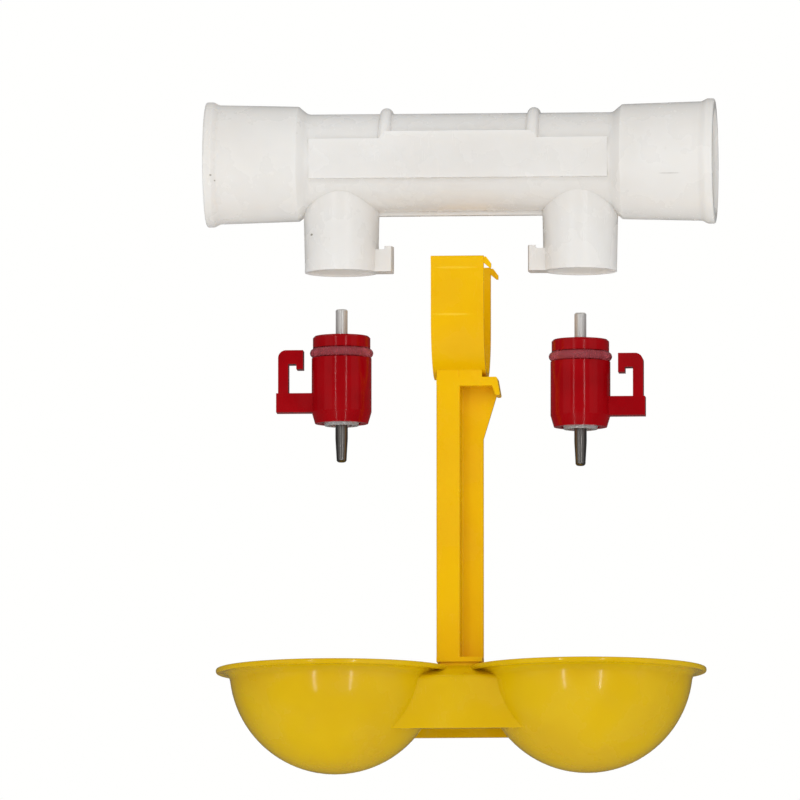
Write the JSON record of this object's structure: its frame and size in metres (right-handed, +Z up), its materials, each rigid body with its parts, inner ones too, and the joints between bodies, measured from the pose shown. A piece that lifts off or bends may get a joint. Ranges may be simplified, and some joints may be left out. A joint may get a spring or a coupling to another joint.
{
  "type": "poultry nipple drinker",
  "caption": "Double-outlet pipe tee with nipple valves that plug in and latch by side hooks, and a clip-on hanging double drip cup.",
  "frame": {"origin": "middle of the tee's run, on the pipe axis", "axes": "+X along the pipe towards the right socket, +Y to the back, +Z up"},
  "size_m": [0.1284, 0.06, 0.1703],
  "materials": {
    "milky_white_plastic": "soft sheen, slightly see-through",
    "yellow_plastic": "glossy moulding",
    "red_plastic": "glossy moulding",
    "clear_rubber": "translucent",
    "silicone": "soft",
    "clear_plastic": "clear",
    "inner_plastic": "plain",
    "polished_steel": "polished stainless steel",
    "plain_steel": "stainless steel"
  },
  "bodies": {
    "tee": {"tee_fitting": "milky_white_plastic"},
    "cup": {"hanger_arm": "yellow_plastic", "double_cup": "yellow_plastic"},
    "left_seal_ring": {"left_o_ring": "clear_rubber"},
    "left_housing": {"left_valve_housing": "red_plastic", "left_valve_seal": "silicone", "left_valve_seat": "plain_steel", "left_spacer_sleeve": "inner_plastic", "left_trigger_seal": "silicone", "left_retaining_washer": "clear_plastic"},
    "left_upper_pin": {"left_valve_pin": "polished_steel"},
    "left_trigger": {"left_trigger_pin": "polished_steel"},
    "right_seal_ring": {"right_o_ring": "clear_rubber"},
    "right_housing": {"right_valve_housing": "red_plastic", "right_valve_seal": "silicone", "right_valve_seat": "plain_steel", "right_spacer_sleeve": "inner_plastic", "right_trigger_seal": "silicone", "right_retaining_washer": "clear_plastic"},
    "right_upper_pin": {"right_valve_pin": "polished_steel"},
    "right_trigger": {"right_trigger_pin": "polished_steel"}
  },
  "joints": [
    {"name": "cup_hang", "type": "slide", "parent": "tee", "child": "cup", "axis": [0, 0, 1], "range_m": [0, 0.0397]},
    {"name": "left_valve_plug", "type": "slide", "parent": "tee", "child": "left_seal_ring", "axis": [0, 0, 1], "range_m": [0, 0.0305]},
    {"name": "left_valve_twist", "type": "hinge", "parent": "left_seal_ring", "child": "left_housing", "pos_m": [-0.03015, 0, -0.0438], "axis": [0, 0, 1], "range_deg": [0, 180]},
    {"name": "left_pin_lift", "type": "slide", "parent": "left_housing", "child": "left_upper_pin", "axis": [0, 0, 1], "range_m": [0, 0.0007]},
    {"name": "left_trigger_tilt", "type": "hinge", "parent": "left_upper_pin", "child": "left_trigger", "pos_m": [-0.03015, 0, -0.05915], "axis": [0, 1, 0], "range_deg": [-10, 10]},
    {"name": "right_valve_plug", "type": "slide", "parent": "tee", "child": "right_seal_ring", "axis": [0, 0, 1], "range_m": [0, 0.0318]},
    {"name": "right_valve_twist", "type": "hinge", "parent": "right_seal_ring", "child": "right_housing", "pos_m": [0.03015, 0, -0.0451], "axis": [0, 0, 1], "range_deg": [0, 180]},
    {"name": "right_pin_lift", "type": "slide", "parent": "right_housing", "child": "right_upper_pin", "axis": [0, 0, 1], "range_m": [0, 0.0007]},
    {"name": "right_trigger_tilt", "type": "hinge", "parent": "right_upper_pin", "child": "right_trigger", "pos_m": [0.03015, 0, -0.06045], "axis": [0, 1, 0], "range_deg": [-10, 10]}
  ]
}
